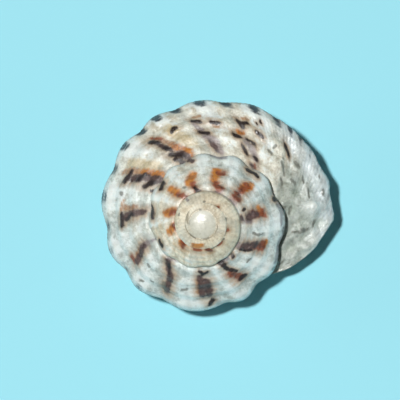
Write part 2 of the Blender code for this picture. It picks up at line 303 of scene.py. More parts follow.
def wind_wall(grid):
    """Adds the wall from the apex to the lip, and returns its columns of places."""
    pole = grid.node(0, 0, point=(0, 0, 0))
    start_r, start_z = keel(0)
    start = grid.node(0, 1, point=(0, start_r, start_z))
    columns = [[pole] + [start] * (EARLY_RAMP_ROWS + TUCK_ROWS)]
    for i in range(1, LIP_COLUMN + 1):
        exposed = i >= FIRST
        across = row_places(i / COLUMNS_PER_TURN, exposed)
        turns = row_turns(i / COLUMNS_PER_TURN, across, exposed)
        r, z = band_point(turns, across)
        before = i - COLUMNS_PER_TURN
        shared = grid.vertex[pole if before < 0 else columns[before][suture_row(before)]]
        column = [grid.node(turns[0], 0, vertex=shared)]
        for place, point in zip(across[1:], zip(turns[1:], r[1:], z[1:])):
            column.append(grid.node(point[0], place, point=point))
        columns.append(column)
        grid.join(columns[i - 1], column[: suture_row(i) + 1] if i == FIRST else column)
    return columns


grid = Grid()
columns = wind_wall(grid)
print("wall: %d vertices, %d faces" % (len(grid.points), len(grid.faces)))

# %% [markdown]
# ## The navel and the hollow
#
# Under the base, the coil leaves a narrow funnel, the navel. The last part of the tube is hollow, because the
# animal lived in it. Its sections are loops: the outer wall moved inwards, the central pillar with its tooth,
# and the wall of the turn before under a thin glaze. A rim joins the first loop to the lip, and the loops
# shrink to a point deep inside, where no light reaches.

# %% Navel
def wind_navel(grid, columns):
    """Adds the navel and returns the places that link the lip to the start of the base."""
    corner = columns[FIRST][-1]
    _, ring_r, ring_z = grid.points[grid.vertex[corner]]
    corner_turn = LIP_TURN - 1 - INNER_LIP_LEAN[-1][1]
    tip = grid.node(3, 3, point=(0, 0, ring_z + NAVEL_HEIGHT))
    before = first_inside = None
    for i in range(FIRST, LIP_COLUMN + 1):
        edge = columns[i][-1]
        edge_turn, edge_r, edge_z = grid.points[grid.vertex[edge]]
        ring_turn = corner_turn + (i - FIRST) / COLUMNS_PER_TURN
        line = [edge]
        for k in range(1, NAVEL_ROWS + 1):
            share = k / NAVEL_ROWS
            turn = edge_turn * (1 - share) + ring_turn * share
            shared = grid.vertex[corner] if i == FIRST or (i == LIP_COLUMN and k == NAVEL_ROWS) else None
            point = (turn, edge_r * (1 - share) + ring_r * share, edge_z * (1 - share) + ring_z * share)
            line.append(grid.node(turn, 2 + share, vertex=shared, point=point))
        if i == LIP_COLUMN:
            line.append(grid.node(ring_turn, 3, vertex=grid.vertex[first_inside]))
        else:
            line.append(grid.node(ring_turn, 3, point=(ring_turn, ring_r * 0.7, ring_z + NAVEL_HEIGHT * 0.6)))
        if before is None:
            first_inside = line[-1]
        else:
            grid.join(before, [*line, tip])
        before = [*line, tip]
    return before[1:-2]


link = wind_navel(grid, columns)

# %% Hollow
WALL, COLUMELLA, CALLUS, TOOTH = 0.42, 0.5, 0.14, 0.35
HOLLOW_TURNS, HOLLOW_TAPER, HOLLOW_COLUMNS, HOLLOW_SMOOTHING = 0.8, 0.2, 90, 14
HOLLOW_OUTER = np.concatenate([np.linspace(0.12, 1, 24), np.linspace(1.04, 1.95, 36)])
HOLLOW_COLUMELLA = np.linspace(0.06, 0.85, 12)
HOLLOW_INNER = np.linspace(1.82, 1.12, 26)
IN_HOLLOW, ON_RIM = 10, 11  # stand-ins for the turn, for places that aren't on the outer skin


def hollow_loops():
    """Loops of the hollow from the lip inwards, as turn, radius and height."""
    lips = LIP_TURN - np.linspace(0, HOLLOW_TURNS, HOLLOW_COLUMNS + 1)[:, None]
    outer_turn = lips - lip_lean(HOLLOW_OUTER)[None]
    outer_across = HOLLOW_OUTER[None] + 0 * outer_turn
    wall = WALL * (1 - 0.4 * bell(LIP_TURN - lips, 0.05))
    outer = outer_turn, *moved_out(outer_turn, outer_across, -wall)
    share = HOLLOW_COLUMELLA[None]
    mid_turn = lips - lip_lean(2.0) * (1 - share) - INNER_LIP_LEAN[-1][1] * share
    low_r, low_z = base_point(mid_turn, 1 + 0 * mid_turn)
    high_r, high_z = base_point(mid_turn - 1, 0.88 + 0 * mid_turn)
    tooth = TOOTH * bell(share - 0.3, 0.25) * bell(LIP_TURN - lips, 0.12)
    pillar_r = (low_r + COLUMELLA) * (1 - share) + high_r * share + tooth
    pillar = mid_turn, pillar_r, low_z * (1 - share) + high_z * share
    inner_turn = lips - smooth(INNER_LIP_LEAN, HOLLOW_INNER)[None]
    inner_across = HOLLOW_INNER[None] + smooth(COVER, inner_turn - 1) * (2 - HOLLOW_INNER[None])
    inner = inner_turn, *moved_out(inner_turn - 1, inner_across, CALLUS)
    turn, r, z = (np.concatenate(part, axis=1) for part in zip(outer, pillar, inner))
    for _ in range(HOLLOW_SMOOTHING):
        r = (np.roll(r, 1, 1) + 2 * r + np.roll(r, -1, 1)) / 4
        z = (np.roll(z, 1, 1) + 2 * z + np.roll(z, -1, 1)) / 4
    deep = np.clip((LIP_TURN - lips - HOLLOW_TURNS + HOLLOW_TAPER) / HOLLOW_TAPER, 0, 1)
    size = np.sqrt(1 - deep**2)
    middle_r, middle_z = r.mean(axis=1, keepdims=True), z.mean(axis=1, keepdims=True)
    return turn * size + lips * (1 - size), middle_r + (r - middle_r) * size, middle_z + (z - middle_z) * size


def wind_hollow(grid, columns, link):
    """Adds the hollow and the rim that joins it to the lip, the navel and the start of the base."""
    turn, r, z = hollow_loops()
    places = [*HOLLOW_OUTER, *(2 + HOLLOW_COLUMELLA), *(5 - HOLLOW_INNER)]
    before = None
    for k in range(HOLLOW_COLUMNS):
        loop = [grid.node(IN_HOLLOW, a, point=p) for a, p in zip(places, zip(turn[k], r[k], z[k]))]
        loop.append(grid.node(IN_HOLLOW, 4 + places[0], vertex=grid.vertex[loop[0]]))
        if k == 0:
            mouth = loop
        else:
            grid.join(before, loop)
        before = loop
    end = grid.node(IN_HOLLOW, 3, point=(turn[-1, 0], r[-1, 0], z[-1, 0]))
    grid.join(before, [end] * len(before))
    rim = [(n, grid.across[n]) for n in columns[-1]]
    rim += zip(link, np.linspace(2, 3, len(link) + 2)[1:-1])
    start = columns[FIRST][: suture_row(FIRST) : -1]
    rim += [(n, 4 - base_share(LIP_TURN - 1, grid.across[n])) for n in start]
    rim.append((columns[-1][0], 4))
    grid.join([grid.node(ON_RIM, a, vertex=grid.vertex[n]) for n, a in rim], mouth)


wind_hollow(grid, columns, link)
print("whole strip: %d vertices, %d faces" % (len(grid.points), len(grid.faces)))

# %% [markdown]
# ## From places to a mesh
#
# The strip is stored unwound: x is the turn, y the radius and z the height. Winding it is left to Geometry
# Nodes. A place on a suture belongs to two turns at once, so the coordinates that the colours need are kept
# on the corners of the faces, where each side of a suture can have its own.

# %% Unwound mesh
place_vertex = np.array(grid.vertex)
place_turn = np.array(grid.turn, float)
place_across = np.array(grid.across, float)
points = np.array(grid.points, float)
own_place = np.unique(place_vertex, return_index=True)[1]

faces = []
for face in grid.faces:
    kept = [n for k, n in enumerate(face) if place_vertex[n] != place_vertex[face[k - 1]]]
    if len({place_vertex[n] for n in kept}) > 2:
        faces.append(kept)
corners = np.concatenate([np.array(face) for face in faces])
used = np.unique(place_vertex[corners])
new_number = np.full(len(points), -1)
new_number[used] = np.arange(len(used))
points, own_place = points[used], own_place[used]

unwound = bpy.data.meshes.new("modulus_shell")
numbered = [new_number[place_vertex[np.array(face)]].tolist() for face in faces]
unwound.from_pydata(points.tolist(), [], numbered)
print("unwound: %d vertices, %d faces" % (len(unwound.vertices), len(unwound.polygons)))


def store(mesh, name, values, domain="POINT"):
    """Keeps one number, or one vector, for each vertex or face corner."""
    values = np.asarray(values, np.float32)
    kind, field = ("FLOAT_VECTOR", "vector") if values.ndim == 2 else ("FLOAT", "value")
    mesh.attributes.new(name, kind, domain).data.foreach_set(field, values.ravel())


# %% [markdown]
# ## What the sculpture needs to know
#
# Each vertex gets the numbers that the relief is made from: where it is between two gaps, how high the ribs
# and cords are there, and which way is outwards. A knob stands where a rib crosses the keel.

# %% Sculpture attributes
skin = (place_turn < IN_HOLLOW) & (place_across <= 2)
turn, across = place_turn[own_place], place_across[own_place]
on_skin = skin[own_place]
turn, across = np.where(on_skin, turn, 0), np.where(on_skin, across, 0)
line = growth_line(turn, across)
share = base_share(turn, across)
fade = ease(across / 0.12)
cord_height = np.where(
    across <= 1,
    smooth(RAMP_CORD_HEIGHT, turn),
    BASE_CORD_HEIGHT * ease((1 - share) / 0.1) * ease((turn - LIP_TURN + 1) / 0.1),
)
scar = SCAR_STEP * ease((line - SCAR_TURN) / 0.01) * ease((LIP_TURN + 0.03 - line) / 0.12)
scar = scar * (1 - ease((across - 0.7) / 0.4))
out_r, out_z = outward(turn, across)
sculpture = {
    "lumps": on_skin * lump_height(turn, across),
    "dome": on_skin * (1 - 0.55 * ease((turn - 1.3) / 0.5) - 0.45 * ease((turn - 2.1) / 0.4)),
    "rib_phase": rib_phase(line),
    "rib_height": on_skin * fade * smooth(RIB_HEIGHT, turn) * smooth(RIB_ACROSS, across),
    "cord_phase": np.where(across <= 1, RAMP_CORDS * across, BASE_CORDS * share),
    "cord_height": on_skin * fade * cord_height,
    "scar_depth": on_skin * fade * scar,
    "growth_line": line,
    "out_r": out_r * on_skin,
    "out_z": out_z * on_skin,
    "on_skin": on_skin * ease(across / 0.1) * ease((2 - across) / 0.2) * ease((turn - 1) / 0.8),
    "after_break": on_skin * ease((line - SCAR_TURN) / 0.01) * (1 - ease((across - 1.2) / 0.5)),
}
for name, values in sculpture.items():
    store(unwound, name, values)
print("relief up to %.2f mm on the knobs" % np.max(sculpture["rib_height"]))

# %% [markdown]
# ## Stripes, dashes and spots
#
# The animal coloured its shell at the lip, so every mark follows a growth line. Here the marks sit in the
# gaps between ribs: long ragged stripes on the left, short dashes on the cords towards the lip, and spots by
# the suture on the young turns. Each is a few strokes placed from the photograph, from one line and
# place across to another, with a half width in mm. A stroke is a soft field here, worth one half at its edge,
# and the material gives it a grainy outline. It is only colour, so nothing is raised.

# %% Strokes
# Most strokes are pigment; a few on the keel's edge beside the next turn's suture are painted shade
MARKS = {
    "yellow_wash": (
        (3.742, 0.68, 3.746, 0.35, 0.34), (3.643, 0.69, 3.654, 0.29, 0.28),
    ),
    "tan": (
        (3.627, 0.72, 3.632, 0.42, 0.18), (3.711, 0.62, 3.72, 0.38, 0.15), (3.567, 0.57, 3.549, 0.59, 0.07),
        (3.552, 0.56, 3.548, 0.32, 0.12), (3.452, 0.41, 3.448, 0.54, 0.12), (3.282, 0.32, 3.286, 0.56, 0.11),
        (3.795, 0.74, 3.81, 0.72, 0.07), (3.819, 0.53, 3.828, 0.53, 0.09), (3.883, 0.75, 3.892, 0.75, 0.07),
    ),
    "violet": (
        (3.451, 0.31, 3.454, 0.19, 0.15), (3.449, 0.11, 3.441, 0.0, 0.08), (3.376, 0.09, 3.346, 0.0, 0.1),
        (3.192, 0.05, 3.167, 0.07, 0.1), (3.082, 0.06, 3.104, 0.09, 0.07), (3.0, 0.1, 3.006, 0.23, 0.11),
        (2.895, 0.06, 2.917, 0.07, 0.1), (2.816, 0.03, 2.836, 0.08, 0.1), (1.662, 0.99, 1.667, 0.81, 0.08),
        (3.785, 0.61, 3.789, 0.49, 0.14), (3.787, 0.36, 3.801, 0.31, 0.15), (3.803, 0.28, 3.796, 0.1, 0.15),
        # On this line and the next, the strokes from turn 2.995 on with across near 1 are painted shade
        # beside the next turn's suture
        (2.795, 0.99, 2.825, 0.94, 0.1), (3.872, 0.36, 3.887, 0.2, 0.2), (2.995, 0.97, 3.035, 0.93, 0.11),
        (3.07, 0.96, 3.115, 0.97, 0.14), (3.045, 0.99, 3.06, 0.99, 0.09),
    ),
    "orange": (
        (3.63, 0.39, 3.637, 0.08, 0.18), (3.718, 0.34, 3.73, 0.22, 0.17), (3.728, 0.25, 3.724, 0.1, 0.14),
        (3.071, 0.6, 3.085, 0.62, 0.08), (2.982, 0.5, 2.994, 0.51, 0.14), (2.902, 0.43, 2.912, 0.56, 0.21),
        (2.799, 0.32, 2.808, 0.55, 0.18), (2.727, 0.53, 2.706, 0.34, 0.19), (2.638, 0.56, 2.642, 0.33, 0.18),
        (2.555, 0.37, 2.56, 0.14, 0.17), (2.486, 0.0, 2.467, 0.28, 0.17), (2.383, 0.13, 2.376, 0.0, 0.17),
        (1.318, 0.88, 1.265, 0.87, 0.15), (3.862, 0.51, 3.872, 0.52, 0.1),
    ),
    "red_brown": (
        (3.708, 0.71, 3.714, 0.62, 0.09), (3.453, 0.65, 3.443, 0.67, 0.11), (3.189, 0.37, 3.181, 0.56, 0.17),
        (3.087, 0.43, 3.088, 0.54, 0.16), (3.075, 0.55, 3.092, 0.59, 0.1), (2.986, 0.35, 2.995, 0.48, 0.17),
        (2.986, 0.56, 3.005, 0.55, 0.1), (2.897, 0.17, 2.913, 0.17, 0.14), (2.896, 0.26, 2.904, 0.41, 0.17),
        (2.9, 0.55, 2.912, 0.53, 0.11), (2.824, 0.13, 2.808, 0.24, 0.15), (2.811, 0.54, 2.827, 0.49, 0.1),
        (2.716, 0.26, 2.724, 0.09, 0.12), (2.641, 0.25, 2.65, 0.07, 0.13), (2.554, 0.17, 2.556, 0.1, 0.11),
        (2.482, 0.06, 2.469, 0.04, 0.11), (2.389, 0.0, 2.365, 0.18, 0.12), (2.297, 0.04, 2.266, 0.06, 0.11),
        (2.226, 0.0, 2.212, 0.18, 0.08), (2.151, 0.06, 2.131, 0.17, 0.07), (2.042, 0.11, 2.042, 0.17, 0.08),
        (1.869, 0.04, 1.875, 0.07, 0.07), (3.88, 0.1, 3.882, 0.07, 0.08),
    ),
    "purple_brown": (
        (3.614, 0.54, 3.615, 0.39, 0.17), (3.621, 0.35, 3.615, 0.12, 0.18), (3.622, 0.17, 3.622, 0.0, 0.17),
        (3.7, 0.56, 3.705, 0.34, 0.12), (3.712, 0.21, 3.715, 0.09, 0.17), (2.734, 0.98, 2.741, 0.92, 0.1),
        (3.534, 0.55, 3.535, 0.34, 0.16), (3.535, 0.34, 3.533, 0.15, 0.12), (3.439, 0.62, 3.443, 0.51, 0.14),
        (3.443, 0.51, 3.451, 0.31, 0.14), (3.375, 0.14, 3.354, 0.35, 0.14), (3.354, 0.35, 3.356, 0.7, 0.16),
        (3.273, 0.27, 3.28, 0.65, 0.16), (3.262, 0.35, 3.265, 0.67, 0.16), (3.092, 0.16, 3.081, 0.42, 0.16),
        (2.982, 0.07, 2.991, 0.07, 0.08), (2.992, 0.23, 2.987, 0.37, 0.15), (2.732, 0.06, 2.72, 0.0, 0.1),
        (3.792, 0.28, 3.789, 0.14, 0.11), (3.869, 0.09, 3.874, 0.08, 0.08),
    ),
    "grey": (
        (3.366, 0.59, 3.36, 0.73, 0.11), (3.137, 0.38, 3.125, 0.42, 0.05), (2.676, 0.29, 2.682, 0.26, 0.06),
        (1.569, 0.76, 1.563, 0.74, 0.06), (2.106, 0.08, 2.109, 0.14, 0.05), (1.972, 0.05, 1.974, 0.09, 0.07),
        (1.767, 0.23, 1.766, 0.17, 0.06), (0.734, 0.79, 0.733, 0.73, 0.06), (0.543, 0.78, 0.482, 0.81, 0.05),
        (1.393, 0.04, 1.33, 0.14, 0.05), (1.262, 0.25, 1.186, 0.37, 0.04), (3.918, 0.44, 3.925, 0.44, 0.07),
        (3.928, 0.53, 3.937, 0.59, 0.05), (3.966, 0.65, 3.968, 0.61, 0.07), (3.951, 0.54, 3.951, 0.52, 0.06),
        (3.95, 0.44, 3.958, 0.39, 0.08), (3.98, 0.64, 3.99, 0.67, 0.07), (3.978, 0.42, 3.99, 0.46, 0.06),
        (4.004, 0.61, 4.01, 0.61, 0.06), (3.954, 0.28, 3.962, 0.24, 0.09), (4.025, 0.64, 4.034, 0.62, 0.06),
        (4.035, 0.89, 4.038, 0.89, 0.06), (4.054, 0.87, 4.06, 0.89, 0.07), (3.975, 0.0, 3.995, 0.15, 0.07),
        (4.007, 0.25, 4.013, 0.24, 0.09), (4.07, 0.47, 4.073, 0.54, 0.05), (4.074, 0.63, 4.079, 0.65, 0.07),
        # The stroke at turn 3.13 here, with across near 1, is painted shade beside the next turn's suture
        (3.131, 0.97, 3.127, 1.0, 0.08), (4.11, 0.2, 4.108, 0.21, 0.06), (3.585, 0.63, 3.581, 0.6, 0.09),
        (3.414, 0.43, 3.41, 0.45, 0.07), (3.415, 0.82, 3.409, 0.8, 0.07), (3.394, 0.66, 3.387, 0.67, 0.06),
        (3.323, 0.54, 3.307, 0.51, 0.05), (3.047, 0.27, 3.049, 0.49, 0.05), (4.055, 0.27, 4.07, 0.47, 0.06),
    ),
    "near_black": (
        (3.605, 0.62, 3.627, 0.61, 0.11), (3.613, 0.4, 3.626, 0.37, 0.1), (3.598, 0.26, 3.608, 0.14, 0.12),
        (2.625, 0.84, 2.642, 0.89, 0.1), (3.59, 0.08, 3.587, 0.0, 0.07), (3.698, 0.65, 3.703, 0.59, 0.15),
        (3.698, 0.4, 3.706, 0.37, 0.09), (3.695, 0.27, 3.707, 0.17, 0.14), (3.686, 0.12, 3.696, 0.15, 0.07),
        (3.696, 0.07, 3.693, 0.0, 0.16), (3.74, 0.6, 3.751, 0.62, 0.1), (3.521, 0.59, 3.541, 0.58, 0.1),
        # The stroke from turn 2.568 to 2.531 here is painted shade on the keel's edge beside the suture
        (3.527, 0.5, 3.533, 0.36, 0.08), (2.568, 0.99, 2.531, 0.83, 0.09), (2.457, 0.83, 2.437, 0.8, 0.09),
        (3.369, 0.18, 3.358, 0.33, 0.07), (3.271, 0.12, 3.264, 0.18, 0.09), (3.26, 0.17, 3.25, 0.15, 0.08),
        (3.273, 0.87, 3.265, 0.81, 0.1), (3.19, 0.1, 3.187, 0.23, 0.1), (3.187, 0.23, 3.173, 0.38, 0.09),
        (3.184, 0.56, 3.171, 0.59, 0.12), (3.146, 0.08, 3.144, 0.09, 0.08), (3.108, 0.13, 3.097, 0.36, 0.06),
        (2.959, 0.15, 2.958, 0.17, 0.08), (2.721, 0.18, 2.726, 0.11, 0.07), (3.787, 0.67, 3.799, 0.63, 0.1),
        (3.783, 0.45, 3.797, 0.41, 0.11), (3.818, 0.59, 3.833, 0.59, 0.1), (3.872, 0.68, 3.874, 0.61, 0.11),
        (3.876, 0.65, 3.886, 0.67, 0.08), (3.85, 0.44, 3.862, 0.43, 0.11), (3.9, 0.6, 3.91, 0.59, 0.09),
        (3.877, 0.41, 3.887, 0.38, 0.1), (3.86, 0.28, 3.864, 0.21, 0.1), (3.883, 0.22, 3.889, 0.19, 0.09),
        (2.886, 0.93, 2.912, 0.86, 0.09), (3.907, 0.75, 3.907, 0.75, 0.06), (3.917, 0.8, 3.917, 0.79, 0.06),
        (3.959, 0.7, 3.964, 0.67, 0.11), (2.982, 0.96, 2.985, 1.0, 0.09),
    ),
}
WANDER_MM = 0.12
MARKS_BROADER, HALO_BROADER = 1.2, 2.8
WARMTH = (
    (0, 0.75), (0.9, 0.8), (1.2, 0.9), (2.3, 0.9), (2.6, 0.65), (2.8, 0.2), (3.1, 0.02), (3.45, 0.05),
    (3.6, 0.2), (3.75, 0.6), (3.9, 0.6), (3.97, 0.5), (4.03, 0.1), (4.3, 0.1),
)
print("strokes: %d" % sum(len(strokes) for strokes in MARKS.values()))


# %% Painting the strokes
def window(x, low, high, soft):
    """1 between low and high, with soft ends."""
    return ease((x - low) / soft + 0.5) * ease((high - x) / soft + 0.5)


def paint(strokes, line, across, round_mm, wide_mm, broader):
    """A field that is 1 in the middle of the strokes and one half at their edges."""
    field = np.zeros_like(line)
    for line_a, across_a, line_b, across_b, half in strokes:
        near = np.abs(line - (line_a + line_b) / 2) < 0.07 + abs(line_a - line_b)
        x, y = (line[near] - line_a) * round_mm[near], (across[near] - across_a) * wide_mm[near]
        to_x, to_y = (line_b - line_a) * round_mm[near], (across_b - across_a) * wide_mm[near]
        along = np.clip((x * to_x + y * to_y) / np.maximum(to_x**2 + to_y**2, 1e-9), 0, 1)
        far = np.hypot(x - along * to_x, y - along * to_y)
        field[near] = np.maximum(field[near], 0.5 ** ((far / (half * broader)) ** 2))
    return field


def paint_rules(phase, turn, across, share):
    """Marks that follow a rule: two blotches to a rib on the keel, and dashes on the cords of the base."""
    uneven = 0.84 + 0.16 * np.sin(2.3 * phase) * np.cos(0.9 * phase + 3 * across)
    on_keel = uneven * window(across, 0.88, 1.25, 0.12) * (0.5 + 0.5 * np.cos(4 * math.pi * phase)) ** 1.2
    cord = (0.5 - 0.5 * np.cos(2 * math.pi * BASE_CORDS * share)) ** 2 * window(share, 0.12, 0.98, 0.08)
    stagger = 0.31 * np.floor(BASE_CORDS * share)
    dash = (0.5 + 0.5 * np.cos(2 * math.pi * (2 * phase + stagger))) ** 2
    on_keel = on_keel * (turn > 3.36) * (0.6 + 0.4 * ease((turn - 3.4) / 0.3))
    on_keel = on_keel * (1 - 0.55 * ease((turn - 3.86) / 0.04))
    return np.maximum(on_keel, uneven * cord * dash) * (turn > LIP_TURN - 1.06)


skin_turn, skin_across = np.where(skin, place_turn, 0), np.where(skin, place_across, 0)
skin_line = growth_line(skin_turn, skin_across)
skin_phase = rib_phase(skin_line)
axis_mm, below_mm = band_point(skin_turn, skin_across)
round_mm = 2 * math.pi * np.maximum(axis_mm, 0.1)
top_r, top_z = band_point(skin_turn, 0 * skin_turn)
edge_r, edge_z = keel(skin_turn)
wide_mm = np.maximum(np.hypot(edge_r - top_r, edge_z - top_z), 0.2)

# The colour cells of the animal wander, so each place is painted as if it lay a little to the side
seed_set(4)
angle = -2 * math.pi * skin_turn
spots = np.stack([axis_mm * np.cos(angle), axis_mm * np.sin(angle), below_mm], axis=1)
wander = sum(
    reach * np.array([noise_vector(Vector(spot)) for spot in spots / size])[:, :2]
    for size, reach in ((0.6, WANDER_MM), (0.22, WANDER_MM / 2))
)
paint_across = skin_across + wander[:, 1] / wide_mm
where = skin_line + wander[:, 0] / round_mm, paint_across, round_mm, wide_mm
fields = {name: paint(strokes, *where, MARKS_BROADER) for name, strokes in MARKS.items()}
fields["ruled"] = paint_rules(skin_phase, skin_turn, paint_across, base_share(skin_turn, skin_across))
dark = [stroke for name in ("near_black", "purple_brown", "red_brown") for stroke in MARKS[name]]
fields["halo"] = paint(dark, *where, HALO_BROADER)

# Bare lime: how warm it is along the shell, the pale first turn, painted shade in the sutures and under the
# keel, and the darker lime after the break
fields["warmth"] = smooth(WARMTH, skin_line)
fields["nucleus"] = 1 - ease((axis_mm - 0.68) / 0.22)
# Painted shade: darker just below each suture, wider near the lip, and just under the keel of the earlier
# turns
below_suture = 1 - skin_across / (0.09 + 0.1 * ease((skin_turn - 3.95) / 0.08))
under_keel = window(skin_across, 1.06, 1.3, 0.08) * (skin_turn < 3.14)
fields["dirt"] = np.maximum(below_suture, under_keel) * ease((skin_turn - 2.5) / 0.4)
crest = np.sin(math.pi * skin_phase) ** 2 * smooth(RIB_ACROSS, skin_across)
fields["swell"] = crest * ease((skin_turn - 1.9) / 0.8)
fields["polish"] = 1 - ease((skin_turn - 2.0) / 0.9)
# Painted shade in the crease round the first turn
fields["crevice"] = bell(axis_mm - 0.9, 0.06)
# Darker lime after the break, partly painted shade, strongest by the suture
fields["late"] = ease((skin_line - SCAR_TURN) / 0.02) * (1 - 0.8 * ease((skin_across - 0.35) / 0.5))
fields["pale_edge"] = ease((skin_line - 3.9) / 0.06) * window(skin_across, 0.72, 1.2, 0.25)
# Mask of the gaps between ribs, for the painted shade there
fields["hollow"] = (1 - fields["swell"]) * ease((skin_turn - 2.4) / 0.5)
# Painted highlight on the lumps and painted shade in the dips
fields["raised"], fields["sunken"] = np.maximum(lump_height(skin_turn, skin_across) * [[1], [-1.8]], 0) / 0.2
fields["spirals"] = skin_across * wide_mm

GROUPS = {
    "dark_marks": ("near_black", "purple_brown", "red_brown"),
    "warm_marks": ("orange", "tan", "yellow_wash"),
    "cool_marks": ("violet", "grey", "ruled"),
    # The lime's tone group also carries the painted shade in the sutures
    "lime_and_suture_shade": ("warmth", "nucleus", "dirt"),
    # Painted shade and highlight that follow the relief
    "relief_shade_and_highlight": ("hollow", "raised", "sunken"),
    "surface": ("swell", "polish", "spirals"),
    "growth_marks": ("halo", "line", "late"),
    "borders": ("crevice", "pale_edge", "glaze"),
}
fields["line"] = skin_line
fields = {name: field * skin for name, field in fields.items()}
fields["glaze"] = 1 - skin
for name, group in GROUPS.items():
    store(unwound, name, np.stack([fields[field] for field in group], axis=1)[corners], "CORNER")
print("painted %d places" % np.count_nonzero(fields["near_black"] > 0.5))

# %% [markdown]
# ## One helper for nodes
#
# Every tree in this lesson is built with one function. It adds a node, sets its options, and fills its inputs
# with values or with links from other nodes. Long sums are tables: a line starts from one value and takes one
# step of arithmetic after another. Colours are sRGB hex values, and are turned linear once, here.

# %% Nodes and colours
def fill(node, inputs):
    """Fills inputs, given by place or by name, with a value, a socket, or a node to take the output of."""
    for key, value in inputs.items() if isinstance(inputs, dict) else enumerate(inputs):
        enabled = [socket for socket in node.inputs if socket.enabled]
        socket = enabled[key] if isinstance(key, int) else next(s for s in enabled if s.name == key)
        if isinstance(value, bpy.types.Node):
            value = next(s for s in value.outputs if s.enabled)
        if isinstance(value, bpy.types.NodeSocket):
            node.id_data.links.new(value, socket)
        else:
            socket.default_value = value


def add(tree, kind, inputs=(), **settings):
    """Adds a node with its settings and inputs."""
    node = tree.nodes.new(kind)
    for name, value in settings.items():
        setattr(node, name, value)
    fill(node, inputs)
    return node


def linear(colour):
    """A linear RGBA colour from an sRGB hex value."""
    channels = [int(colour[k : k + 2], 16) / 255 for k in (1, 3, 5)]
    return (*(c / 12.92 if c <= 0.04045 else ((c + 0.055) / 1.055) ** 2.4 for c in channels), 1.0)


# %% [markdown]
# ## Winding and sculpting with Geometry Nodes
#
# A coiled shell follows a rule, so a tree winds it. Vertices first move outwards by the height of ribs,
# cords and threads, and then round the axis by their turn. A second, weak move along the normals makes the
# surface uneven, as chalky lime is after years in sand, and rougher after the healed break. The sizes are
# inputs of the tree, in millimetres.

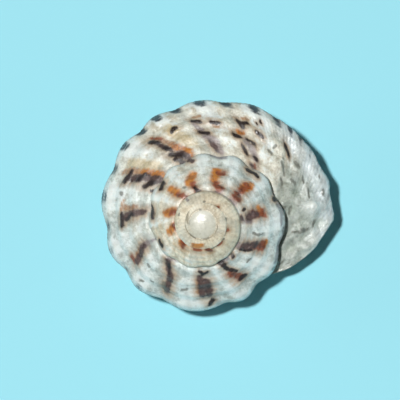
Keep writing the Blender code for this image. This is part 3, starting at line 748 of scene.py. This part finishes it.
# %% Tree that winds the wall
def wind_tree():
    """Builds the tree. Its inputs are sizes in mm, except where the name says otherwise."""
    tree = bpy.data.node_groups.new("wind_and_sculpt", "GeometryNodeTree")
    tree.interface.new_socket("Geometry", in_out="OUTPUT", socket_type="NodeSocketGeometry")
    tree.interface.new_socket("Geometry", in_out="INPUT", socket_type="NodeSocketGeometry")
    sizes = (
        ("Rib share", 1.0), ("Rib sharpness", 1.4), ("Thread height", 0.01), ("Threads per turn", 150.0),
        ("Fold height", 0.045), ("Folds per turn", 26.0), ("Lump height", 0.07), ("Lump size", 0.9),
        ("Grain height", 0.035), ("Grain size", 0.22), ("Seed", 4.0),
    )
    for name, value in sizes:
        tree.interface.new_socket(name, in_out="INPUT", socket_type="NodeSocketFloat").default_value = value
    tree.interface.new_socket("Material", in_out="INPUT", socket_type="NodeSocketMaterial")
    got = {socket.name: socket for socket in add(tree, "NodeGroupInput").outputs}
    strip = add(tree, "GeometryNodeInputPosition")
    got.update(zip(("turn", "radius", "height"), add(tree, "ShaderNodeSeparateXYZ", [strip]).outputs))
    for name in sculpture:
        got[name] = add(tree, "GeometryNodeInputNamedAttribute", {"Name": name}, data_type="FLOAT")
    sums = {
        "rib": ["rib_phase", ("MULTIPLY", math.pi), ("SINE",), ("ABSOLUTE",), ("POWER", "Rib sharpness"),
                ("MULTIPLY", "rib_height"), ("MULTIPLY", "Rib share")],
        "cord": ["cord_phase", ("MULTIPLY", 2 * math.pi), ("COSINE",), ("MULTIPLY_ADD", -0.5, 0.5),
                 ("MULTIPLY", "cord_height")],
        "thread": ["growth_line", ("MULTIPLY", "Threads per turn"), ("MULTIPLY", 2 * math.pi), ("SINE",),
                   ("MULTIPLY", "Thread height"), ("MULTIPLY", "on_skin")],
        "fold": ["growth_line", ("MULTIPLY", "Folds per turn"), ("MULTIPLY", 2 * math.pi), ("SINE",),
                 ("MULTIPLY", "Fold height"), ("MULTIPLY", "after_break")],
        "relief": ["rib", ("ADD", "cord"), ("ADD", "thread"), ("SUBTRACT", "fold"),
                   ("SUBTRACT", "scar_depth"), ("ADD", "lumps")],
        "wound radius": ["relief", ("MULTIPLY_ADD", "out_r", "radius")],
        "wound height": ["relief", ("MULTIPLY_ADD", "out_z", "height")],
        "angle": ["turn", ("MULTIPLY", -2 * math.pi)],
        "x": ["angle", ("COSINE",), ("MULTIPLY", "wound radius")],
        "y": ["angle", ("SINE",), ("MULTIPLY", "wound radius")],
        "rougher": ["after_break", ("MULTIPLY_ADD", 1.2, 1.0)],
    }
    for name, (start, *steps) in sums.items():
        value = got[start]
        for operation, *others in steps:
            others = [got[o] if isinstance(o, str) else o for o in others]
            value = add(tree, "ShaderNodeMath", [value, *others], operation=operation)
        got[name] = value
    wound = add(tree, "ShaderNodeCombineXYZ", [got["x"], got["y"], got["wound height"]])
    shell = add(tree, "GeometryNodeSetPosition", {"Geometry": got["Geometry"], "Position": wound})

    # The first turns are worn smooth
    here = add(tree, "GeometryNodeInputPosition")
    soften = {"Value": here, "Iterations": 60}
    blurred = add(tree, "GeometryNodeBlurAttribute", soften, data_type="FLOAT_VECTOR")
    worn = add(tree, "ShaderNodeMix", [got["dome"], here, blurred], data_type="VECTOR")
    shell = add(tree, "GeometryNodeSetPosition", {"Geometry": shell, "Position": worn})

    # Lumps and grain move the wall along its normals, the grain most after the break
    for kind, detail, factors in (("Lump", 2.0, ("on_skin",)), ("Grain", 3.0, ("on_skin", "rougher"))):
        scale = add(tree, "ShaderNodeMath", [1.0, got[kind + " size"]], operation="DIVIDE")
        look = {"Vector": here, "W": got["Seed"], "Scale": scale, "Detail": detail}
        cloud = add(tree, "ShaderNodeTexNoise", look, noise_dimensions="4D")
        move = add(tree, "ShaderNodeMath", [cloud, 0.5], operation="SUBTRACT")
        for factor in (kind + " height", *factors):
            move = add(tree, "ShaderNodeMath", [move, got[factor]], operation="MULTIPLY")
        along = {"Vector": add(tree, "GeometryNodeInputNormal"), "Scale": move}
        offset = add(tree, "ShaderNodeVectorMath", along, operation="SCALE")
        shell = add(tree, "GeometryNodeSetPosition", {"Geometry": shell, "Offset": offset})
    shell = add(tree, "GeometryNodeRealizeInstances", [shell])
    shell = add(tree, "GeometryNodeSetMaterial", {"Geometry": shell, "Material": got["Material"]})
    add(tree, "NodeGroupOutput", [shell])
    return tree


winding = wind_tree()
print("winding tree: %d nodes, %d links" % (len(winding.nodes), len(winding.links)))

# %% [markdown]
# ## Worn aragonite
#
# The wall is aragonite, a form of lime that the animal laid down in thin crossed layers. Fresh, it is glossy
# like porcelain. Rolled in sand, it turns chalky in the hollows and keeps its polish on the knobs and on the
# smooth young turns. So the gloss follows the knobs, light goes a little way in, and fine pits and growth
# threads roughen the rest. IOR is 1.53, as for aragonite.

# %% Colours of the lime and the marks
# Cool and warm, for dull lime and for clean lime, which mottle at random
LIME = (("#A5B0AC", "#BFAC8B"), ("#DAE6E2", "#E8DDC4"))
# The coats, from the first on: field, whether its edge is frayed, where it starts and is full, strength, and
# its dull and clean colour
COATS = (
    ("patch", False, 0.52, 0.66, 0.35, ("#A9B3B0",)),
    ("cloud", False, 0.5, 0.68, 0.3, ("#B5A480",)),
    # Worn white on the knobs, partly a painted highlight on their crests
    ("knobs", False, 0.62, 0.86, 0.8, ("#E0E8E5",)),
    # Darker lime after the break, partly painted shade by the suture
    ("late", False, 0.1, 1.0, 0.78, ("#767E74", "#A2AA9D")),
    ("pale_edge", False, 0.1, 1.0, 0.6, ("#9CA9AC", "#BECACC")),
    ("growth threads", False, 0.4, 1.0, 0.14, ("#7B7462",)),
    # Painted shade in the gaps between ribs
    ("hollowed", False, 0.3, 0.65, 0.5, ("#7C857F", "#A9B1AC")),
    # Painted shade in the dips, then painted highlight on the lumps
    ("sunken", False, 0.05, 0.7, 0.6, ("#6F7B6C", "#9AA596")),
    ("raised", False, 0.2, 2.6, 0.8, ("#C8CFCB", "#E6EBE7")),
    ("halo", True, 0.08, 0.85, 0.7, ("#836A50", "#B09473")),
    # Painted shade in the sutures and under the keel
    ("dirty", False, 0.9, 1.4, 0.8, ("#4E4A4C",)),
    ("yellow_wash", True, 0.1, 0.9, 0.6, ("#A68F5E", "#C9B27E")),
    ("tan", True, 0.1, 0.85, 0.8, ("#7F5A3C", "#B08A66")),
    ("violet", True, 0.1, 0.95, 0.72, ("#463D47", "#82777B")),
    ("orange", True, 0.05, 0.85, 0.95, ("#7A420F", "#BD7A2E")),
    ("red_brown", True, 0.08, 0.82, 0.93, ("#421C12", "#8A482B")),
    ("purple_brown", True, 0.08, 0.76, 0.96, ("#1E1517", "#54403D")),
    ("grey", True, 0.15, 0.8, 0.75, ("#44463F", "#6C6C60")),
    ("near_black", True, 0.1, 0.74, 0.97, ("#150D0E", "#2A1E1D")),
    ("ruled", True, 0.2, 0.75, 0.94, ("#14191F", "#2F3740")),
    ("nucleus", False, 0.1, 0.9, 0.9, ("#B4B4A4", "#C3C3B5")),
    # Painted shade in the crease round the first turn
    ("crevice", True, 0.45, 1.0, 0.8, ("#5F5947", "#857C66")),
)
# Cloudy patterns, each with the width of its features in mm, its detail and its roughness
NOISES = (
    ("cloud", 2.2, 3.0, 0.5), ("patch", 1.1, 3.0, 0.5), ("mottle", 0.5, 5.0, 0.68),
    ("grain", 0.14, 3.0, 0.65),
)
PIT_SPACING, BUMP_HEIGHT, POLISHED = 0.42, 0.09 * MM, 0.42
print("coats: %d" % len(COATS))

# %% Shell material
def worn_aragonite():
    """The shell's material. Patterns are scaled from sizes in mm."""
    material = bpy.data.materials.new("worn_aragonite")
    material.use_nodes = True
    tree = material.node_tree
    shader = tree.nodes["Principled BSDF"]
    got = {}
    for name, parts in GROUPS.items():
        vector = add(tree, "ShaderNodeAttribute", attribute_name=name).outputs["Vector"]
        got.update(zip(parts, add(tree, "ShaderNodeSeparateXYZ", [vector]).outputs))

    metres = add(tree, "ShaderNodeTexCoord").outputs["Object"]
    mm = add(tree, "ShaderNodeVectorMath", {"Vector": metres, "Scale": 1 / MM}, operation="SCALE")
    for name, size, detail, roughness in NOISES:
        look = {"Vector": mm, "Scale": 1 / size, "Detail": detail, "Roughness": roughness}
        got[name] = add(tree, "ShaderNodeTexNoise", look)
    spirals, line = got["spirals"], got["line"]
    for name, place, scale, bend in (
        ("spiral threads", [spirals, line], 1.15, 1.6), ("growth threads", [line], 12.0, 2.0),
    ):
        look = {"Vector": add(tree, "ShaderNodeCombineXYZ", place), "Scale": scale, "Distortion": bend}
        got[name] = add(tree, "ShaderNodeTexWave", {**look, "Detail": 3.0, "Detail Scale": 1.5})
    pits = add(tree, "ShaderNodeTexVoronoi", {"Vector": mm, "Scale": 1 / PIT_SPACING}).outputs
    got["pit"] = pits["Distance"]
    got["pick"] = add(tree, "ShaderNodeSeparateColor", [pits["Color"]])

    # "rag" frays the marks, and is 0 on average. "relief" is in units of the bump's height
    sums = {
        "spiral rag": ["spiral threads", ("MULTIPLY_ADD", 0.3, -0.12)],
        # Painted shade in the gaps between ribs, in clouds
        "hollowed": ["hollow", ("MULTIPLY", "cloud")],
        "rag": ["mottle", ("MULTIPLY_ADD", 1.5, -0.79), ("MULTIPLY_ADD", 0.9, "grain"), ("SUBTRACT", 0.45),
                ("MULTIPLY_ADD", 1.0, "spiral rag")],
        "grainy": ["grain", ("MULTIPLY_ADD", 0.6, "mottle")],
        # Painted shade in the sutures, mottled
        "dirty": ["dirt", ("MULTIPLY_ADD", 1.0, "mottle")],
        # Worn white on the knobs, partly a painted highlight
        "knobs": ["swell", ("MULTIPLY_ADD", 0.5, "mottle")],
        "pitted": ["pit", ("MULTIPLY_ADD", 0.5, "grain")],
        "bare": ["glaze", ("MULTIPLY_ADD", -1.0, 1.0)],
        "unpolished": ["polish", ("MULTIPLY_ADD", -0.85, 1.0)],
        "calm knobs": ["swell", ("MULTIPLY_ADD", -0.6, 1.0)],
        "clean": ["grainy", ("SMOOTHSTEP", 0.56, 0.94)],
        "some": ["pick", ("GREATER_THAN", 0.62)],
        "open pits": ["pitted", ("SMOOTHSTEP", 0.27, 0.4, 1.0, 0.0), ("MULTIPLY", "some"),
                      ("MULTIPLY", "unpolished")],
        "pit dirt": ["open pits", ("MULTIPLY", 0.65)],
        "knob gloss": ["swell", ("MULTIPLY_ADD", -0.16, 0.5)],
        "dull patches": ["mottle", ("MULTIPLY_ADD", 0.24, "knob gloss")],
        "roughness": ["grain", ("MULTIPLY_ADD", -0.5, "dull patches")],
        "grain relief": ["grain", ("MULTIPLY_ADD", 0.5, "mottle")],
        "spiral relief": ["spiral threads", ("MULTIPLY_ADD", 0.05, "grain relief")],
        "thread relief": ["growth threads", ("MULTIPLY_ADD", 0.08, "spiral relief")],
        "relief": ["open pits", ("MULTIPLY_ADD", -0.9, "thread relief"), ("MULTIPLY", "unpolished"),
                   ("MULTIPLY", "bare"), ("MULTIPLY", "calm knobs")],
    }
    # A coat is as strong as its field says, between where it starts and is full
    for field, frayed, low, high, strength, _ in COATS:
        edge = [("MULTIPLY_ADD", "rag", field)] if frayed else []
        sums[field + " coat"] = [field, *edge, ("SMOOTHSTEP", low, high, 0.0, strength)]
    for name, (start, *steps) in sums.items():
        value = got[start]
        for operation, *others in steps:
            others = [got[o] if isinstance(o, str) else o for o in others]
            if operation == "SMOOTHSTEP":
                value = add(tree, "ShaderNodeMapRange", [value, *others], interpolation_type=operation)
            else:
                value = add(tree, "ShaderNodeMath", [value, *others], operation=operation)
        got[name] = value

    # Bare lime is cool or warm, and runs at random from dull patches to clean white. The coats lie over it,
    # and then dirt in a few of the pits, and clean porcelain inside
    dull, clean = (
        add(tree, "ShaderNodeMix", [got["warmth"], *map(linear, pair)], data_type="RGBA") for pair in LIME
    )
    layers = [(got["clean"], clean)]
    for field, *_, pigments in COATS:
        pigment = linear(pigments[0])
        if len(pigments) > 1:
            pigment = add(tree, "ShaderNodeMix", [got["clean"], *map(linear, pigments)], data_type="RGBA")
        layers.append((got[field + " coat"], pigment))
    layers += [(got["pit dirt"], linear("#4C483C")), (got["glaze"], linear("#E2E0D6"))]
    colour = dull
    for share, pigment in layers:
        colour = add(tree, "ShaderNodeMix", [share, colour, pigment], data_type="RGBA")

    # Glossy on knobs, on the first turns and inside, chalky in the hollows, with a thin worn glaze for glints
    rough = got["roughness"]
    for share in ("polish", "glaze"):
        rough = add(tree, "ShaderNodeMix", [got[share], rough, POLISHED], data_type="FLOAT")
    bump = add(tree, "ShaderNodeBump", {"Height": got["relief"], "Distance": BUMP_HEIGHT, "Strength": 1.0})
    fill(shader, {
        "Base Color": colour, "Roughness": rough, "Normal": bump, "Coat Normal": bump, "Coat Weight": 0.22,
        "Coat Roughness": 0.1, "IOR": 1.53, "Subsurface Weight": 0.12, "Subsurface Radius": (0.9, 0.7, 0.5),
        "Subsurface Scale": 0.5 * MM,
    })
    return material


aragonite = worn_aragonite()
print("shell material: %d nodes" % len(aragonite.node_tree.nodes))

# %% [markdown]
# ## Winding it, and setting it down
#
# The tree is run once and its result is taken as a plain mesh. The shell is then leaned into the pose that it
# settles into on a table: on its base and lip, with the axis about 13 degrees from upright. Its lowest points
# are worn flat, and millimetres become metres.

# %% The finished shell
LEAN, LEAN_ABOUT, WORN_DEPTH = 13.4, 4, 0.2

shell = bpy.data.objects.new("modulus_shell", unwound)
bpy.context.scene.collection.objects.link(shell)
modifier = shell.modifiers.new("winding", "NODES")
modifier.node_group = winding
material_input = next(item for item in winding.interface.items_tree if item.name == "Material")
modifier[material_input.identifier] = aragonite
evaluated = shell.evaluated_get(bpy.context.evaluated_depsgraph_get())
wound = bpy.data.meshes.new_from_object(evaluated)
shell.modifiers.remove(modifier)
shell.data = wound
print("wound: %d vertices, %d attributes" % (len(wound.vertices), len(wound.attributes)))

# %% Rest pose
xyz = np.empty(len(wound.vertices) * 3, np.float32)
wound.vertices.foreach_get("co", xyz)
about = Vector((math.cos(math.radians(LEAN_ABOUT)), math.sin(math.radians(LEAN_ABOUT)), 0))
leaned = xyz.reshape(-1, 3) @ np.array(Matrix.Rotation(math.radians(LEAN), 3, about)).T
low, high = leaned.min(axis=0), leaned.max(axis=0)
shift = np.array([*((low + high) / 2)[:2], low[2] + WORN_DEPTH])
apex = (leaned[np.argmin(np.abs(xyz.reshape(-1, 3)).sum(axis=1))] - shift) * MM
leaned = leaned - shift
leaned[:, 2] = np.maximum(leaned[:, 2], 0)
wound.vertices.foreach_set("co", (leaned * MM).ravel())
wound.update()
wound.shade_smooth()
print("faces %d, size %s mm" % (len(wound.polygons), np.ptp(leaned, axis=0).round(2)))

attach(shell, "root")
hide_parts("shell")

# %% [markdown]
# ## Table, light and camera
#
# The shell lies on a plain pale sheet. One soft light stands close to the camera on its upper left, so the
# shadows fall a little to the lower right, as in the photograph. A wide one fills them a little, and two low
# ones at the sides light the walls. The camera looks almost down the coil's axis, through a long lens.

# %% Table
def sheet_of_card():
    """Pale card, matt."""
    material = bpy.data.materials.new("pale_card")
    material.use_nodes = True
    fill(material.node_tree.nodes["Principled BSDF"], {"Base Color": linear("#94D6E2"), "Roughness": 0.8})
    return material


bpy.ops.mesh.primitive_plane_add(size=0.6)
table = bpy.context.object
table.name = "table"
table.data.materials.append(sheet_of_card())

# %% Camera
CAMERA_TILT, CAMERA_TILT_TOWARDS, CAMERA_DISTANCE = 5.5, 45, 0.25
FRAME_WIDTH = 22.31 * MM
APEX_LEFT, APEX_BELOW = -0.123 * MM, 1.339 * MM

lean_back = Matrix.Rotation(math.radians(LEAN), 3, about)
tilt, towards = math.radians(CAMERA_TILT), math.radians(CAMERA_TILT_TOWARDS)
sideways = math.sin(tilt)
look_back = lean_back @ Vector((sideways * math.cos(towards), sideways * math.sin(towards), math.cos(tilt)))
up = lean_back @ Vector((0, 1, 0))
right = up.cross(look_back).normalized()
up = look_back.cross(right)
centre = Vector(apex) + right * APEX_LEFT + up * APEX_BELOW
lens = bpy.data.cameras.new("camera")
lens.sensor_width = 36
lens.lens = 36 * CAMERA_DISTANCE / FRAME_WIDTH
lens.clip_start = 0.01
camera = bpy.data.objects.new("camera", lens)
facing = Matrix((right, up, look_back)).transposed().to_4x4()
camera.matrix_world = Matrix.Translation(centre + look_back * CAMERA_DISTANCE) @ facing
bpy.context.scene.collection.objects.link(camera)
bpy.context.scene.camera = camera
off_vertical = math.degrees(look_back.angle((0, 0, 1)))
print("camera %.1f degrees from straight down, lens %.0f mm" % (off_vertical, lens.lens))

# %% Light
# Name, width in m, power in W, degrees to the left of and above the line of sight, and distance in m
LIGHTS = (
    ("key", 0.016, 0.95, 9, 5.5, 0.3), ("fill", 0.4, 0.03, -20, -10, 0.5),
    ("low left", 0.3, 0.22, 76, 30, 0.5), ("low right", 0.3, 0.16, -76, -30, 0.5),
)
for name, size, power, left, above, distance in LIGHTS:
    light = bpy.data.lights.new(name, "AREA")
    light.shape, light.size, light.energy = "DISK", size, power
    lamp = bpy.data.objects.new(name, light)
    direction = look_back - right * math.tan(math.radians(left)) + up * math.tan(math.radians(above))
    direction.normalize()
    aimed = direction.to_track_quat("Z", "Y").to_matrix().to_4x4()
    lamp.matrix_world = Matrix.Translation(direction * distance) @ aimed
    bpy.context.scene.collection.objects.link(lamp)
world = bpy.data.worlds.new("studio")
world.use_nodes = True
fill(world.node_tree.nodes["Background"], {"Color": linear("#F2F6F8"), "Strength": 0.06})
bpy.context.scene.world = world
bpy.context.scene.view_settings.view_transform = "Standard"
print("lights: %d" % len(LIGHTS))
